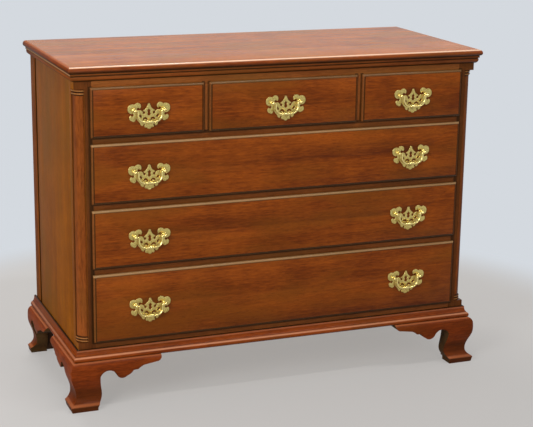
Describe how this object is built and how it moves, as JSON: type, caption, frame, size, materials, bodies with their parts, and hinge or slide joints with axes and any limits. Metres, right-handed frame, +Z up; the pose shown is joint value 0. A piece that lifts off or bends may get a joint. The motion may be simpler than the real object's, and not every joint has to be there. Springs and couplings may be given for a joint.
{
  "type": "chest of drawers",
  "caption": "Low wooden chest with small drawers over long ones, lipped fronts, quarter columns, moulded top, ogee bracket feet and swinging brass bail pulls.",
  "frame": {"origin": "on the floor, under the middle of the whole chest", "axes": "+X to the right seen from the front, +Y from the front to the back, +Z up"},
  "size_m": [1.1444, 0.5102, 0.8735],
  "materials": {
    "drawer_front_wood": "clear gloss polish, level grain",
    "case_wood": "clear gloss polish, dark glaze in the hollows",
    "top_wood": "clear gloss polish, long level grain",
    "side_wood": "satin polish, upright grain",
    "base_wood": "clear gloss polish, redder stain",
    "plain_inner_wood": "bare planed wood",
    "brass": "polished, darker in the hollows"
  },
  "bodies": {
    "case": {"back_boards": "plain_inner_wood", "base_moulding": "base_wood", "bottom_board": "plain_inner_wood", "drawer_dividers": "case_wood", "drawer_guides": "plain_inner_wood", "drawer_runners": "plain_inner_wood", "foot_glue_blocks": "plain_inner_wood", "front_left_foot": "base_wood", "front_rails": "case_wood", "front_right_foot": "base_wood", "left_front_post": "case_wood", "left_quarter_column": "case_wood", "left_side_panel": "side_wood", "rear_left_foot": "base_wood", "rear_right_foot": "base_wood", "rear_stiles": "side_wood", "right_front_post": "case_wood", "right_quarter_column": "case_wood", "right_side_panel": "side_wood", "top_board": "top_wood", "top_moulding": "case_wood"},
    "top_left_drawer": {"top_left_bottom": "plain_inner_wood", "top_left_box": "plain_inner_wood", "top_left_front": "drawer_front_wood", "top_left_pull_plates": "brass", "top_left_pull_posts": "brass"},
    "top_left_bail_swing": {"top_left_bail": "brass"},
    "top_middle_drawer": {"top_middle_bottom": "plain_inner_wood", "top_middle_box": "plain_inner_wood", "top_middle_front": "drawer_front_wood", "top_middle_pull_plates": "brass", "top_middle_pull_posts": "brass"},
    "top_middle_bail_swing": {"top_middle_bail": "brass"},
    "top_right_drawer": {"top_right_bottom": "plain_inner_wood", "top_right_box": "plain_inner_wood", "top_right_front": "drawer_front_wood", "top_right_pull_plates": "brass", "top_right_pull_posts": "brass"},
    "top_right_bail_swing": {"top_right_bail": "brass"},
    "upper_drawer": {"upper_bottom": "plain_inner_wood", "upper_box": "plain_inner_wood", "upper_front": "drawer_front_wood", "upper_pull_plates": "brass", "upper_pull_posts": "brass"},
    "upper_left_bail_swing": {"upper_left_bail": "brass"},
    "upper_right_bail_swing": {"upper_right_bail": "brass"},
    "middle_drawer": {"middle_bottom": "plain_inner_wood", "middle_box": "plain_inner_wood", "middle_front": "drawer_front_wood", "middle_pull_plates": "brass", "middle_pull_posts": "brass"},
    "middle_left_bail_swing": {"middle_left_bail": "brass"},
    "middle_right_bail_swing": {"middle_right_bail": "brass"},
    "lower_drawer": {"lower_bottom": "plain_inner_wood", "lower_box": "plain_inner_wood", "lower_front": "drawer_front_wood", "lower_pull_plates": "brass", "lower_pull_posts": "brass"},
    "lower_left_bail_swing": {"lower_left_bail": "brass"},
    "lower_right_bail_swing": {"lower_right_bail": "brass"}
  },
  "joints": [
    {"name": "top_left_drawer_slide", "type": "slide", "parent": "case", "child": "top_left_drawer", "axis": [0, -1, 0], "range_m": [0, 0.34]},
    {"name": "top_left_bail_hinge", "type": "hinge", "parent": "top_left_drawer", "child": "top_left_bail_swing", "pos_m": [-0.36075, -0.2503, 0.76225], "axis": [-1, 0, 0], "range_deg": [-8, 180]},
    {"name": "top_middle_drawer_slide", "type": "slide", "parent": "case", "child": "top_middle_drawer", "axis": [0, -1, 0], "range_m": [0, 0.34]},
    {"name": "top_middle_bail_hinge", "type": "hinge", "parent": "top_middle_drawer", "child": "top_middle_bail_swing", "pos_m": [0, -0.2503, 0.76225], "axis": [-1, 0, 0], "range_deg": [-8, 180]},
    {"name": "top_right_drawer_slide", "type": "slide", "parent": "case", "child": "top_right_drawer", "axis": [0, -1, 0], "range_m": [0, 0.34]},
    {"name": "top_right_bail_hinge", "type": "hinge", "parent": "top_right_drawer", "child": "top_right_bail_swing", "pos_m": [0.36075, -0.2503, 0.76225], "axis": [-1, 0, 0], "range_deg": [-8, 180]},
    {"name": "upper_drawer_slide", "type": "slide", "parent": "case", "child": "upper_drawer", "axis": [0, -1, 0], "range_m": [0, 0.34]},
    {"name": "upper_left_bail_hinge", "type": "hinge", "parent": "upper_drawer", "child": "upper_left_bail_swing", "pos_m": [-0.36075, -0.2503, 0.609], "axis": [-1, 0, 0], "range_deg": [-8, 180]},
    {"name": "upper_right_bail_hinge", "type": "hinge", "parent": "upper_drawer", "child": "upper_right_bail_swing", "pos_m": [0.36075, -0.2503, 0.609], "axis": [-1, 0, 0], "range_deg": [-8, 180]},
    {"name": "middle_drawer_slide", "type": "slide", "parent": "case", "child": "middle_drawer", "axis": [0, -1, 0], "range_m": [0, 0.34]},
    {"name": "middle_left_bail_hinge", "type": "hinge", "parent": "middle_drawer", "child": "middle_left_bail_swing", "pos_m": [-0.36075, -0.2503, 0.4435], "axis": [-1, 0, 0], "range_deg": [-8, 180]},
    {"name": "middle_right_bail_hinge", "type": "hinge", "parent": "middle_drawer", "child": "middle_right_bail_swing", "pos_m": [0.36075, -0.2503, 0.4435], "axis": [-1, 0, 0], "range_deg": [-8, 180]},
    {"name": "lower_drawer_slide", "type": "slide", "parent": "case", "child": "lower_drawer", "axis": [0, -1, 0], "range_m": [0, 0.34]},
    {"name": "lower_left_bail_hinge", "type": "hinge", "parent": "lower_drawer", "child": "lower_left_bail_swing", "pos_m": [-0.36075, -0.2503, 0.2645], "axis": [-1, 0, 0], "range_deg": [-8, 180]},
    {"name": "lower_right_bail_hinge", "type": "hinge", "parent": "lower_drawer", "child": "lower_right_bail_swing", "pos_m": [0.36075, -0.2503, 0.2645], "axis": [-1, 0, 0], "range_deg": [-8, 180]}
  ]
}
